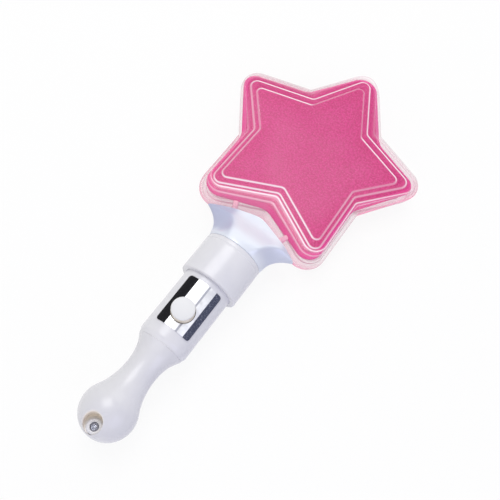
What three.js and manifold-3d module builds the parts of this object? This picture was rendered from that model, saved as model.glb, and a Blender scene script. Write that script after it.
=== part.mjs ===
// Light-up star wand: a clear star case with pink inserts on a white battery handle.
// Millimetres. The wand lies face up: +Y runs from the handle to the star's top tip, +Z is the star's front.
// Sizes along the wand are stations measured from the star's centre: negative ones lie towards the handle.

import * as THREE from 'three';
import { mergeVertices } from 'three/addons/utils/BufferGeometryUtils.js';
import Module from 'manifold-3d';

const wasm = await Module();
wasm.setup();

// Fits and walls
const fit = 0.3;
const seamGap = 0.2;
const caseWall = 1.5;
const shellWall = 1.6;
const tubeWall = 1.4;

// Star case: sharp corners of the widest outline and of the front rim, on the right half
const girdleCorners = {
  top: [0, 63.2],
  shoulder: [22, 30.8],
  arm: [57.2, 19.3],
  side: [35.3, -13.5],
  leg: [35.4, -55.6],
  neck: [0, -42],
};
const rimCorners = {
  top: [0, 60],
  shoulder: [18.5, 26.7],
  arm: [53.9, 15.6],
  side: [31.8, -10.9],
  leg: [32.9, -48.3],
  neck: [0, -31.5],
};
const girdleTipRadius = 8;
const rimTipRadius = 5.5;
const notchRadius = 3;
const rimHeight = 5.2;
const stepRise = 0.8;
const stepInset = 3.6;
const plateauInset = 7;
const riserRun = 0.5;
const wallCurve = [[0, 0], [0.2, 0.03], [0.65, 0.4], [0.9, 0.8], [1, 1]];
const pinkWall = 0.9;
const pinkSkirtShare = 0.4;

// Neck between the star and the handle
const neckBaseY = -66;
const neckSpreadLength = 13.5;
const neckStep = 0.2;
const neckTopHalfWidth = 27;
const neckTopHalfDepth = 3;
const neckFlatness = 2.6;
const pinRadius = 1.4;
const pinLength = 7.6;
const pinX = 13.4;

// Collar and barrel
const collarWall = 2.25;
const collarLength = 20;
const collarEdge = 0.8;
const collarOverBarrel = 10;
const barrelRadius = 12.05;
const barrelLength = 42.4;
const shoulderDrop = 1.9;
const shoulderInset = 0.85;

// Label and button
const labelThickness = 0.25;
const labelDrop = 2.3;
const labelBelowButton = 6.7;
const labelHalfAngle = 53;
const buttonFromEnd = 13.4;
const buttonRadius = 5.75;
const buttonHeight = 3.85;
const buttonEdge = 0.9;
const buttonTravel = 1;
const flangeHalfWidth = 5;
const flangeHalfLength = 8;
const flangeThickness = 1;

// Inside the barrel
const cellRadius = 5.8;
const cellHeight = 5.4;
const cellCount = 3;
const cellGap = 0.1;
const contactSpace = 1.5;
const contactThickness = 0.4;
const carriageEndWall = 2;
const troughWall = 0.8;
const boardThickness = 1.2;
const boardHalfWidth = 7.5;
const switchSide = 6;
const switchHeight = 2.5;
const plungerRadius = 1.7;
const plungerSink = 0.5;
const plungerClearance = 0.2;
const ledRadius = 2.5;
const ledFlangeRadius = 2.95;
const ledFlangeHeight = 1;
const ledHeight = 8.4;
const ledLeadRadius = 0.35;
const ledLeadSpacing = 2.54;
const ledLeadLength = 5;
const holderThickness = 2;
const holderDrop = 1.5;
const wireRadius = 0.65;
const wireRun = 3.2;

// Grip with its bulb, and the screw that locks it
const spigotLength = 6;
const gripWaistDrop = 13.9;
const gripWaistRadius = 7.4;
const bulbDrop = 34.4;
const bulbRadius = 12.75;
const bulbJoinShare = 0.6;
const tongueHalfWidth = 3.1;
const tongueTopZ = 0.4;
const tongueBottomZ = -3.6;
const tongueEndMargin = 3.4;
const screwOffset = 8.3;
const recessRadius = 3.8;
const recessFloorZ = 3;
const recessWall = 1.5;
const bossFloor = 2;
const ringRadius = 2.9;
const ringHeight = 0.5;
const screwHeadRadius = 1.95;
const screwHeadHeight = 1.5;
const screwRadius = 1.25;
const screwLength = 8.6;
const screwClearance = 0.25;
const crossWidth = 0.6;
const crossDepth = 0.8;

// Facets
const turnSteps = 32;
const smallSteps = 16;
const tipSteps = 5;
const notchSteps = 2;

// Derived stations and levels
const collarRadius = barrelRadius + fit + collarWall;
const neckBaseRadius = collarRadius - neckStep;
const collarTopY = neckBaseY - fit / 2;
const collarBottomY = neckBaseY - collarLength;
const barrelTopY = neckBaseY - collarOverBarrel;
const barrelShoulderY = barrelTopY - barrelLength;
const barrelEndY = barrelShoulderY - shoulderDrop;
const barrelInnerRadius = barrelRadius - tubeWall;
const buttonY = barrelShoulderY + buttonFromEnd;
const labelTopY = collarBottomY - labelDrop;
const labelBottomY = buttonY - labelBelowButton;
const gripTopY = barrelEndY - fit;
const gripWaistY = gripTopY - gripWaistDrop;
const bulbY = gripTopY - bulbDrop;
const bulbJoinY = bulbY + bulbRadius * bulbJoinShare;
const spigotTopY = gripTopY + spigotLength;
const spigotRadius = barrelInnerRadius - fit;
const screwY = bulbY - screwOffset;
const stepHeight = rimHeight + stepRise;
const plateauHeight = stepHeight + stepRise;
const carriageRadius = barrelInnerRadius - fit;
const cellZ = -(carriageRadius - troughWall - fit - cellRadius);
const carriageTopZ = cellZ + cellRadius + fit;
const carriageEndY = spigotTopY + 2 * fit;
const cellStackLength = cellCount * (cellHeight + cellGap) + 2 * contactSpace;
const channelEndY = carriageEndY + carriageEndWall;
const channelTopY = channelEndY + cellStackLength;
const carriageStartY = channelTopY + carriageEndWall;
const holderTopY = barrelTopY - holderDrop;
const ledBaseY = holderTopY + fit / 3;
const boardTopY = ledBaseY - ledLeadLength - wireRun;
const boardZ = carriageTopZ + fit;
const boardTopZ = boardZ + boardThickness;
const switchTopZ = boardTopZ + switchHeight;
const plungerTopZ = switchTopZ + buttonTravel + fit;
const flangeBottomZ = plungerTopZ + fit;
const flangeTopZ = flangeBottomZ + flangeThickness;
const buttonTopZ = barrelRadius + buttonHeight;

// A three.js geometry as a solid for joining and cutting
function solid(geometry) {
  const bare = geometry.clone();
  bare.deleteAttribute('normal');
  bare.deleteAttribute('uv');
  const merged = mergeVertices(bare, 1e-5);
  const vertProperties = new Float32Array(merged.attributes.position.array);
  const triVerts = new Uint32Array(merged.index.array);
  return new wasm.Manifold(new wasm.Mesh({ numProp: 3, vertProperties, triVerts }));
}

// A joined or cut solid back as a three.js geometry
function shape(manifold) {
  const mesh = manifold.getMesh();
  const geometry = new THREE.BufferGeometry();
  geometry.setAttribute('position', new THREE.BufferAttribute(mesh.vertProperties, 3));
  geometry.setIndex(new THREE.BufferAttribute(mesh.triVerts, 1));
  geometry.computeVertexNormals();
  return geometry;
}

// The whole outline, anticlockwise, from its right half
function mirrored(corners) {
  const right = Object.values(corners).map(([x, y]) => new THREE.Vector2(x, y));
  const left = right.slice(1, -1).map((p) => new THREE.Vector2(-p.x, p.y));
  return [...left.reverse(), ...right].reverse().map((p) => p.clone());
}

// Corners of the outline whose sides all lie the same distance further in
function inset(corners, distance) {
  const count = corners.length;
  return corners.map((corner, i) => {
    const before = corner.clone().sub(corners[(i + count - 1) % count]).normalize();
    const after = corners[(i + 1) % count].clone().sub(corner).normalize();
    const normalBefore = new THREE.Vector2(-before.y, before.x);
    const normalAfter = new THREE.Vector2(-after.y, after.x);
    const bisector = normalBefore.clone().add(normalAfter).normalize();
    return corner.clone().addScaledVector(bisector, distance / bisector.dot(normalBefore));
  });
}

// An outline with an arc in each corner: the tips turn left, the notches turn right
function rounded(corners, tipRadius, innerRadius) {
  const count = corners.length;
  const points = [];
  corners.forEach((corner, i) => {
    const toBefore = corners[(i + count - 1) % count].clone().sub(corner).normalize();
    const toAfter = corners[(i + 1) % count].clone().sub(corner).normalize();
    const isTip = toBefore.cross(toAfter) < 0;
    const radius = isTip ? tipRadius : innerRadius;
    const steps = isTip ? tipSteps : notchSteps;
    const half = Math.acos(THREE.MathUtils.clamp(toBefore.dot(toAfter), -1, 1)) / 2;
    const bisector = toBefore.clone().add(toAfter).normalize();
    const centre = corner.clone().addScaledVector(bisector, radius / Math.sin(half));
    const start = corner.clone().addScaledVector(toBefore, radius / Math.tan(half)).sub(centre);
    const sweep = (Math.PI - 2 * half) * (isTip ? 1 : -1);
    for (let k = 0; k <= steps; k += 1) {
      const turned = start.clone().rotateAround(new THREE.Vector2(), (sweep * k) / steps);
      points.push(centre.clone().add(turned));
    }
  });
  return points;
}

// A closed body through a stack of outlines with equal numbers of points
function stack(rings, place) {
  const count = rings[0].outline.length;
  const positions = rings.flatMap((ring) => ring.outline.flatMap((p) => place(p, ring.level).toArray()));
  const triangles = [];
  for (let r = 0; r + 1 < rings.length; r += 1) {
    for (let i = 0; i < count; i += 1) {
      const a = r * count + i;
      const b = r * count + ((i + 1) % count);
      triangles.push([a, b, b + count], [a, b + count, a + count]);
    }
  }
  const last = (rings.length - 1) * count;
  THREE.ShapeUtils.triangulateShape(rings[0].outline, []).forEach(([a, b, c]) => triangles.push([a, c, b]));
  THREE.ShapeUtils.triangulateShape(rings.at(-1).outline, [])
    .forEach(([a, b, c]) => triangles.push([last + a, last + b, last + c]));
  const geometry = new THREE.BufferGeometry();
  geometry.setAttribute('position', new THREE.Float32BufferAttribute(positions, 3));
  const u = place(new THREE.Vector2(1, 0), 0).sub(place(new THREE.Vector2(), 0));
  const v = place(new THREE.Vector2(0, 1), 0).sub(place(new THREE.Vector2(), 0));
  const w = place(new THREE.Vector2(), 1).sub(place(new THREE.Vector2(), 0));
  const turned = u.cross(v).dot(w) < 0;
  geometry.setIndex(triangles.flatMap(([a, b, c]) => (turned ? [a, c, b] : [a, b, c])));
  return geometry;
}

// A cylinder along Z, and one along Y, between two levels
function rodZ(radius, x, y, lowZ, highZ, steps = smallSteps) {
  const geometry = new THREE.CylinderGeometry(radius, radius, highZ - lowZ, steps);
  return geometry.rotateX(Math.PI / 2).translate(x, y, (lowZ + highZ) / 2);
}

function rodY(radius, x, lowY, highY, z, steps = smallSteps) {
  const geometry = new THREE.CylinderGeometry(radius, radius, highY - lowY, steps);
  return geometry.translate(x, (lowY + highY) / 2, z);
}

function box(lowX, highX, lowY, highY, lowZ, highZ) {
  const geometry = new THREE.BoxGeometry(highX - lowX, highY - lowY, highZ - lowZ);
  return geometry.translate((lowX + highX) / 2, (lowY + highY) / 2, (lowZ + highZ) / 2);
}

// A body turned about the wand's axis from a closed profile of [radius, station] points
function turned(profile, steps = turnSteps) {
  const points = profile.map(([radius, y]) => new THREE.Vector2(radius, y));
  return new THREE.LatheGeometry(points, steps);
}

const wand = new THREE.Group();

function add(name, geometry, colour, roughness, metalness = 0) {
  const material = new THREE.MeshStandardMaterial({ color: colour, roughness, metalness });
  const mesh = new THREE.Mesh(geometry, material);
  mesh.name = name;
  wand.add(mesh);
}

// Star case
const girdle = mirrored(girdleCorners);
const rim = mirrored(rimCorners);

// Rings of the case's curved side wall, moved in and down by the given amounts
function wallRings(insetBy, dropBy, fromShare = 0) {
  const low = rounded(inset(girdle, insetBy), girdleTipRadius - insetBy, notchRadius + insetBy);
  const high = rounded(inset(rim, insetBy), rimTipRadius - insetBy / 2, notchRadius + insetBy);
  return wallCurve.filter(([share]) => share >= fromShare).map(([share, blend]) => ({
    outline: low.map((p, i) => p.clone().lerp(high[i], blend)),
    level: share * (rimHeight - dropBy),
  }));
}

// Rings of the two raised steps on the case's face
function stepRings(insetBy, dropBy) {
  const ring = (distance, level) => ({
    outline: rounded(inset(rim, distance), rimTipRadius / 2, notchRadius + insetBy),
    level: level - dropBy,
  });
  return [
    ring(stepInset + insetBy - riserRun, rimHeight),
    ring(stepInset + insetBy, stepHeight),
    ring(plateauInset + insetBy - riserRun, stepHeight),
    ring(plateauInset + insetBy, plateauHeight),
  ];
}

const onStar = (side) => (p, level) => new THREE.Vector3(p.x, p.y, side * level);

// The pins that hold the case to the neck stand square to the legs' inner sides
const [legX, legY] = girdleCorners.leg;
const notchY = girdleCorners.neck[1];
const pinAngle = Math.atan2(legY - notchY, legX);
const pinY = notchY + pinX * Math.tan(pinAngle);

function pin(side, radius) {
  const geometry = new THREE.CylinderGeometry(radius, radius, pinLength, smallSteps / 2);
  geometry.rotateZ(side * pinAngle);
  return geometry.translate(side * pinX, pinY, 0);
}

const pinHoles = solid(pin(1, pinRadius + fit / 2)).add(solid(pin(-1, pinRadius + fit / 2)));

function caseShell(side) {
  const outerRings = [...wallRings(0, 0), ...stepRings(0, 0)];
  outerRings[0].level = seamGap / 2;
  const cavityRings = [...wallRings(caseWall, caseWall), ...stepRings(caseWall, caseWall)];
  cavityRings.unshift({ outline: cavityRings[0].outline, level: -caseWall });
  const outer = solid(stack(outerRings, onStar(side)));
  return shape(outer.subtract(solid(stack(cavityRings, onStar(side)))).subtract(pinHoles));
}

function pinkTray(side) {
  const start = caseWall + fit;
  const outer = solid(stack(wallRings(start, start, pinkSkirtShare), onStar(side)));
  const hollow = wallRings(start + pinkWall, start + pinkWall, pinkSkirtShare);
  hollow.unshift({ outline: hollow[0].outline, level: 0 });
  return shape(outer.subtract(solid(stack(hollow, onStar(side)))));
}

add('star_front_shell', caseShell(1), '#f6e9ef', 0.05);
add('star_back_shell', caseShell(-1), '#f6e9ef', 0.05);
add('pink_star_front', pinkTray(1), '#e0508f', 0.55);
add('pink_star_back', pinkTray(-1), '#e0508f', 0.55);
add('neck_pin_left', pin(-1, pinRadius), '#f7dfe6', 0.3);
add('neck_pin_right', pin(1, pinRadius), '#f7dfe6', 0.3);

// Neck: round at the collar, fanning out and flattening up to the star's legs
function neckRings(insetBy, fromY) {
  const rings = [];
  const topY = notchY + girdleTipRadius / 2;
  for (let k = 0; k <= smallSteps; k += 1) {
    const y = fromY + ((topY - fromY) * k) / smallSteps;
    const spread = THREE.MathUtils.clamp((y - neckBaseY) / neckSpreadLength, 0, 1);
    const flatten = THREE.MathUtils.smoothstep(y, neckBaseY, notchY);
    const widening = neckTopHalfWidth - neckBaseRadius;
    const halfWidth = neckBaseRadius + widening * (0.4 * spread + 0.6 * spread ** 4) - insetBy;
    const halfDepth = THREE.MathUtils.lerp(neckBaseRadius, neckTopHalfDepth, flatten) - insetBy;
    const power = 2 / THREE.MathUtils.lerp(2, neckFlatness, flatten);
    const outline = [];
    for (let i = 0; i < turnSteps; i += 1) {
      const angle = (2 * Math.PI * i) / turnSteps;
      const along = Math.sign(Math.cos(angle)) * Math.abs(Math.cos(angle)) ** power;
      const across = Math.sign(Math.sin(angle)) * Math.abs(Math.sin(angle)) ** power;
      outline.push(new THREE.Vector2(halfWidth * along, halfDepth * across));
    }
    rings.push({ outline, level: y });
  }
  return rings;
}

const onNeck = (p, level) => new THREE.Vector3(p.x, level, p.y);

// The room that the star takes out of the neck
function starPrism(clearance) {
  const outline = rounded(inset(girdle, -clearance), girdleTipRadius + clearance, notchRadius);
  const rings = [-collarRadius, collarRadius].map((level) => ({ outline, level }));
  return solid(stack(rings, onStar(1)));
}

function neck() {
  const spigotBottom = barrelTopY + fit;
  const spigot = solid(rodY(barrelRadius, 0, spigotBottom, neckBaseY + fit, 0, turnSteps));
  const body = solid(stack(neckRings(0, neckBaseY), onNeck)).add(spigot).subtract(starPrism(fit));
  const floorY = neckBaseY + shellWall;
  const room = solid(stack(neckRings(shellWall, floorY), onNeck)).subtract(starPrism(fit + shellWall));
  const bore = solid(rodY(barrelInnerRadius, 0, spigotBottom - fit, floorY + fit, 0, turnSteps));
  return shape(body.subtract(room).subtract(bore).subtract(pinHoles));
}

add('neck_flare', neck(), '#dfe3f2', 0.15);

// Collar sleeve over the neck's spigot and the barrel's top
const collarInner = barrelRadius + fit;
add('collar_ring', turned([
  [collarInner, collarBottomY],
  [collarRadius - collarEdge, collarBottomY],
  [collarRadius - collarEdge * 0.3, collarBottomY + collarEdge * 0.3],
  [collarRadius, collarBottomY + collarEdge],
  [collarRadius, collarTopY - collarEdge / 2],
  [collarRadius - collarEdge / 2, collarTopY],
  [collarInner, collarTopY],
  [collarInner, collarBottomY],
]), '#e9e9ee', 0.25);

// Barrel with the button's hole
const barrelTube = turned([
  [barrelInnerRadius, barrelEndY],
  [barrelRadius - shoulderInset, barrelEndY],
  [barrelRadius, barrelShoulderY],
  [barrelRadius, barrelTopY],
  [barrelInnerRadius, barrelTopY],
  [barrelInnerRadius, barrelEndY],
]);
const buttonHole = solid(rodZ(buttonRadius + fit, 0, buttonY, 0, buttonTopZ, turnSteps));
add('barrel', shape(solid(barrelTube).subtract(buttonHole)), '#e6e6ec', 0.25);

// Mirror label wrapped round the barrel's front
function label() {
  const inner = barrelRadius + fit / 3;
  const half = THREE.MathUtils.degToRad(labelHalfAngle);
  const plan = new THREE.Shape();
  plan.absarc(0, 0, inner + labelThickness, Math.PI / 2 - half, Math.PI / 2 + half, false);
  plan.absarc(0, 0, inner, Math.PI / 2 + half, Math.PI / 2 - half, true);
  const options = { depth: labelTopY - labelBottomY, bevelEnabled: false, curveSegments: smallSteps };
  const sheet = new THREE.ExtrudeGeometry(plan, options);
  sheet.rotateX(-Math.PI / 2).rotateY(Math.PI).translate(0, labelBottomY, 0);
  return shape(solid(sheet).subtract(buttonHole));
}

add('chrome_label', label(), '#d5d8de', 0.06, 1);

// Button: a round cap on a flange that keeps it inside the barrel
const capProfile = [
  [0, flangeBottomZ],
  [buttonRadius - fit, flangeBottomZ],
  [buttonRadius, flangeTopZ],
  [buttonRadius, buttonTopZ - buttonEdge],
  [buttonRadius - buttonEdge * 0.3, buttonTopZ - buttonEdge * 0.3],
  [buttonRadius - buttonEdge, buttonTopZ],
  [0, buttonTopZ],
];
const cap = turned(capProfile).rotateX(Math.PI / 2).translate(0, buttonY, 0);
const flangeEnds = [buttonY - flangeHalfLength, buttonY + flangeHalfLength];
const flange = box(-flangeHalfWidth, flangeHalfWidth, ...flangeEnds, flangeBottomZ, flangeTopZ);
const barrelRoom = solid(rodY(barrelInnerRadius - fit, 0, ...flangeEnds, 0, turnSteps));
add('power_button', shape(solid(flange).intersect(barrelRoom).add(solid(cap))), '#f3f3f3', 0.35);

// Switch and its plunger on the circuit board
const boreRadius = plungerRadius + plungerClearance;
const switchBore = solid(rodZ(boreRadius, 0, buttonY, boardTopZ + plungerSink, flangeTopZ));
const half = switchSide / 2;
const switchBox = box(-half, half, buttonY - half, buttonY + half, boardTopZ, switchTopZ);
const plungerBottomZ = boardTopZ + plungerSink + buttonTravel + fit;
const boardHalves = [-boardHalfWidth, boardHalfWidth];
add('circuit_board', box(...boardHalves, carriageEndY, boardTopY, boardZ, boardTopZ), '#2e7d4f', 0.5);
add('switch_body', shape(solid(switchBox).subtract(switchBore)), '#2b2b2e', 0.5);
add('switch_plunger', rodZ(plungerRadius, 0, buttonY, plungerBottomZ, plungerTopZ), '#f0efe8', 0.5);

// Battery carriage: a trough for the cells with a forked tongue that reaches into the bulb
function carriage() {
  const round = solid(rodY(carriageRadius, 0, carriageEndY, carriageStartY, 0, turnSteps));
  const reach = 2 * barrelRadius;
  const lower = solid(box(-reach, reach, carriageEndY, carriageStartY, -reach, carriageTopZ));
  const channelRadius = cellRadius + fit;
  const channel = solid(rodY(channelRadius, 0, channelEndY, channelTopY, cellZ, turnSteps))
    .add(solid(box(-channelRadius, channelRadius, channelEndY, channelTopY, cellZ, reach)));
  const tongueEndY = bulbY - bulbRadius + tongueEndMargin;
  const tongueRoot = carriageEndY + carriageEndWall / 2;
  const tongueSpan = [-tongueHalfWidth, tongueHalfWidth, tongueEndY, tongueRoot];
  const tongue = solid(box(...tongueSpan, tongueBottomZ, tongueTopZ));
  const slotHalf = screwRadius + screwClearance;
  const slotLevels = [tongueBottomZ - fit, tongueTopZ + fit];
  const slot = solid(box(-slotHalf, slotHalf, tongueEndY - fit, screwY, ...slotLevels))
    .add(solid(rodZ(slotHalf, 0, screwY, ...slotLevels)));
  return shape(round.intersect(lower).subtract(channel).add(tongue).subtract(slot));
}

add('battery_carriage', carriage(), '#3a3a40', 0.55);

for (let i = 0; i < cellCount; i += 1) {
  const low = channelEndY + contactSpace + cellGap / 2 + i * (cellHeight + cellGap);
  add(`button_cell_${i + 1}`, rodY(cellRadius, 0, low, low + cellHeight, cellZ), '#c9ccd1', 0.25, 1);
}

// Contacts at both ends of the cells: a flat plate and a bowed leaf
const contactHalf = cellRadius * 0.7;
const plateLow = channelTopY - fit - contactThickness;
add('positive_contact', box(-contactHalf, contactHalf, plateLow, plateLow + contactThickness,
  cellZ - contactHalf, cellZ + contactHalf), '#d8b45a', 0.3, 1);

function bowedLeaf() {
  const low = channelEndY + fit;
  const high = channelEndY + contactSpace - fit - contactThickness;
  const bow = new THREE.QuadraticBezierCurve(
    new THREE.Vector2(-contactHalf, low),
    new THREE.Vector2(0, 2 * high - low),
    new THREE.Vector2(contactHalf, low),
  ).getPoints(tipSteps);
  const upper = bow.map((p) => new THREE.Vector2(p.x, p.y + contactThickness)).reverse();
  const leaf = new THREE.ExtrudeGeometry(new THREE.Shape([...bow, ...upper]), {
    depth: contactHalf,
    bevelEnabled: false,
  });
  return leaf.translate(0, 0, cellZ - contactHalf / 2);
}

add('negative_contact', bowedLeaf(), '#d8b45a', 0.3, 1);

// Light source in its holder, shining up the neck, with its wires to the board
const leadSides = [-1, 1].map((side) => (side * ledLeadSpacing) / 2);

function led() {
  const flangeTop = ledBaseY + ledFlangeHeight;
  const domeY = ledBaseY + ledHeight - ledRadius;
  const profile = [
    [0, ledBaseY],
    [ledFlangeRadius, ledBaseY],
    [ledFlangeRadius, flangeTop],
    [ledRadius, flangeTop],
  ];
  for (let k = 0; k <= tipSteps; k += 1) {
    const angle = (Math.PI / 2) * (k / tipSteps);
    profile.push([ledRadius * Math.cos(angle) * (k < tipSteps ? 1 : 0), domeY + ledRadius * Math.sin(angle)]);
  }
  const leadEnds = [ledBaseY - ledLeadLength, ledBaseY + fit];
  const leads = leadSides.map((x) => solid(rodY(ledLeadRadius, x, ...leadEnds, 0, smallSteps / 2)));
  return shape(leads.reduce((body, lead) => body.add(lead), solid(turned(profile))));
}

const holderEnds = [holderTopY - holderThickness, holderTopY];
const holderDisc = solid(rodY(barrelInnerRadius - fit, 0, ...holderEnds, 0, turnSteps));
const holeEnds = [holderEnds[0] - fit, holderEnds[1] + fit];
const leadHoles = leadSides.map((x) => solid(rodY(ledLeadRadius + fit, x, ...holeEnds, 0, smallSteps / 2)));
const holder = leadHoles.reduce((body, hole) => body.subtract(hole), holderDisc);
add('light_bulb', led(), '#fff4f8', 0.1);
add('bulb_holder', shape(holder), '#eeeeee', 0.5);

// One wire from a lead's end down to the board's top edge
function wire(x) {
  const start = new THREE.Vector3(x, ledBaseY - ledLeadLength - fit, 0);
  const end = new THREE.Vector3(x, boardTopY + fit, (boardZ + boardTopZ) / 2);
  const route = new THREE.CubicBezierCurve3(
    start,
    start.clone().lerp(new THREE.Vector3(start.x, end.y, start.z), 0.5),
    end.clone().lerp(new THREE.Vector3(end.x, start.y, end.z), 0.5),
    end,
  );
  const section = new THREE.Shape().absarc(0, 0, wireRadius, 0, 2 * Math.PI, false);
  return new THREE.ExtrudeGeometry(section, { extrudePath: route, steps: 6, curveSegments: 4 });
}

add('led_wire_red', wire(leadSides[1]), '#b8242b', 0.45);
add('led_wire_black', wire(leadSides[0]), '#1d1d20', 0.45);

// Grip: spigot, waist and hollow bulb
function gripProfile(insetBy) {
  const topRadius = barrelRadius - shoulderInset - insetBy;
  const join = Math.sqrt(bulbRadius ** 2 - (bulbJoinY - bulbY) ** 2);
  const waistRadius = gripWaistRadius - insetBy;
  const between = (share, low, high) => THREE.MathUtils.lerp(low, high, share);
  const waist = new THREE.SplineCurve([
    new THREE.Vector2(topRadius, gripTopY),
    new THREE.Vector2(between(0.66, topRadius, waistRadius), between(0.29, gripTopY, gripWaistY)),
    new THREE.Vector2(between(0.91, topRadius, waistRadius), between(0.64, gripTopY, gripWaistY)),
    new THREE.Vector2(waistRadius, gripWaistY),
    new THREE.Vector2(between(0.28, waistRadius, join - insetBy), between(0.51, gripWaistY, bulbJoinY)),
    new THREE.Vector2(join - insetBy, bulbJoinY),
  ]).getPoints(insetBy > 0 ? 8 : 13).map((p) => [p.x, p.y]);
  const radius = bulbRadius - insetBy;
  const start = Math.asin((bulbJoinY - bulbY) / bulbRadius);
  const bulbSteps = insetBy > 0 ? 7 : 11;
  const bulb = [];
  for (let k = 1; k <= bulbSteps; k += 1) {
    const angle = start - (start + Math.PI / 2) * (k / bulbSteps);
    bulb.push([k < bulbSteps ? radius * Math.cos(angle) : 0, bulbY + radius * Math.sin(angle)]);
  }
  return [...waist, ...bulb];
}

function grip() {
  const outerSkin = gripProfile(0).reverse();
  const innerSkin = gripProfile(shellWall);
  const hollow = turned([
    ...outerSkin,
    [spigotRadius, gripTopY],
    [spigotRadius, spigotTopY],
    [spigotRadius - tubeWall, spigotTopY],
    ...innerSkin,
  ]);
  const whole = solid(turned([...outerSkin, [0, gripTopY]]));
  const bossBottom = recessFloorZ - bossFloor;
  const boss = solid(rodZ(recessRadius + recessWall, 0, screwY, bossBottom, bulbRadius)).intersect(whole);
  const pillarTop = tongueBottomZ - fit;
  const pillar = solid(rodZ(screwRadius + shellWall, 0, screwY, -bulbRadius, pillarTop)).intersect(whole);
  const recess = solid(rodZ(recessRadius, 0, screwY, recessFloorZ, 2 * bulbRadius, turnSteps));
  const ring = solid(rodZ(ringRadius, 0, screwY, recessFloorZ - fit, recessFloorZ + ringHeight));
  const seat = solid(rodZ(screwHeadRadius + screwClearance, 0, screwY, recessFloorZ, bulbRadius));
  const holeRadius = screwRadius + screwClearance;
  const holeBottom = recessFloorZ - screwLength - fit;
  const hole = solid(rodZ(holeRadius, 0, screwY, holeBottom, bulbRadius));
  return shape(solid(hollow).add(boss).add(pillar).subtract(recess).add(ring).subtract(seat).subtract(hole));
}

add('grip_shell', grip(), '#e4e4ea', 0.22);

// Cross-head locking screw in the bulb
function screw() {
  const headTop = recessFloorZ + fit / 3 + screwHeadHeight;
  const head = turned([
    [0, recessFloorZ - screwLength],
    [screwRadius * 0.5, recessFloorZ - screwLength],
    [screwRadius, recessFloorZ - screwLength + screwRadius],
    [screwRadius, recessFloorZ + fit / 3],
    [screwHeadRadius, recessFloorZ + fit / 3],
    [screwHeadRadius, headTop - screwHeadHeight * 0.4],
    [screwHeadRadius * 0.7, headTop],
    [0, headTop],
  ], smallSteps).rotateX(Math.PI / 2).translate(0, screwY, 0);
  const arm = screwHeadRadius * 0.65;
  const slotLevels = [headTop - crossDepth, headTop + fit];
  const across = solid(box(-arm, arm, screwY - crossWidth / 2, screwY + crossWidth / 2, ...slotLevels));
  const along = solid(box(-crossWidth / 2, crossWidth / 2, screwY - arm, screwY + arm, ...slotLevels));
  return shape(solid(head).subtract(across.add(along)));
}

add('locking_screw', screw(), '#a9adb5', 0.3, 1);

// The finished wand stands on its collar, centred over the middle of its length
const girdleTop = Math.max(...wallRings(0, 0)[0].outline.map((p) => p.y));
wand.position.set(0, -(girdleTop + bulbY - bulbRadius) / 2, collarRadius);

export default wand;
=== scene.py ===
"""Light-up star wand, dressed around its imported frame: a clear star case with pink inserts, a pearly fanned neck,
a white barrel with a mirror label and a push button, and a waisted grip with a screw recess in its ball."""
import math

import bpy
import numpy as np
from mathutils import Matrix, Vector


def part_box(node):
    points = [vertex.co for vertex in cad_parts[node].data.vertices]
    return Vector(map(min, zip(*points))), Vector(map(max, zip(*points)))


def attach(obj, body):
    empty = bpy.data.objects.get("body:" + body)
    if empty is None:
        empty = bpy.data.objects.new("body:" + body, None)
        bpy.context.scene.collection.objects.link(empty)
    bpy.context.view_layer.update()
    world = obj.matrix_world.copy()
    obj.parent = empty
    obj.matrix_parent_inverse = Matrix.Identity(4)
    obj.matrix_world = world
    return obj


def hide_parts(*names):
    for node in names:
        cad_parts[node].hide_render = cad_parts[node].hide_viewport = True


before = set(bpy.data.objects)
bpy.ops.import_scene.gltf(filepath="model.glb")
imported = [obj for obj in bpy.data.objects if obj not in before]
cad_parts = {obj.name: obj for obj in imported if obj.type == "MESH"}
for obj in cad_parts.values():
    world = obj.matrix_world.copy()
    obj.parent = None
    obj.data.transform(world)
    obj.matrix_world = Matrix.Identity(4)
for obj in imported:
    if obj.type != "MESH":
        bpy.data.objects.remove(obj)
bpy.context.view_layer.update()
scene = bpy.context.scene

# Shapes are worked out in millimetres in the wand's own frame: the star's centre at the origin, +Y to its top
# tip, +Z out of its front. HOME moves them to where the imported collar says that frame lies.
MM = 0.001
COLLAR_BOTTOM = -86.0
collar_low, collar_high = (np.array(corner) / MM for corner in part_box("collar_ring"))
HOME = np.array([0.0, collar_low[1] - COLLAR_BOTTOM, (collar_low[2] + collar_high[2]) / 2])

# Star case: corners of the right half, from the top tip to the neck's notch, and heights from the seam
GIRDLE = [(0, 63.2), (22, 30.8), (57.2, 19.3), (35.3, -13.5), (35.4, -57.8), (0, -44.2)]
RIM = [(0, 60), (18.5, 26.7), (53.9, 15.6), (31.8, -10.9), (32.9, -48.3), (0, -31.5)]
RIM_TIP, NOTCH = 6.0, 3.0
SEAM, RIM_Z, STEP = 0.1, 5.8, 0.5
CASE_WALL, WALL_POWER = 1.2, 1.5
FLANGE_INSET, FLANGE_Z = 1.3, 0.6
RIM_LIP, STEP_RUNS = (0.4, 0.75), (0.3, 0.9)
FACE_SCALES = (0.75, 0.4, 0.1)
# Points of an outline's arc round a corner, and parts of the straight side after it
ARC, SIDE = 15, 6

# Rows of ten values run anticlockwise from the neck's notch. Rows of five are the right half's sides, which the left
# half mirrors: neck to leg, leg to side notch, side notch to arm, arm to shoulder, and shoulder to top.

# Radius of the girdle's corners, which counts at the tips alone: the leg, arm, top, arm and leg
GIRDLE_TIP = np.array((10.0, 10.0, 10.0, 8.7, 10.0, 11.0, 10.0, 9.4, 10.0, 10.8))
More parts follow.
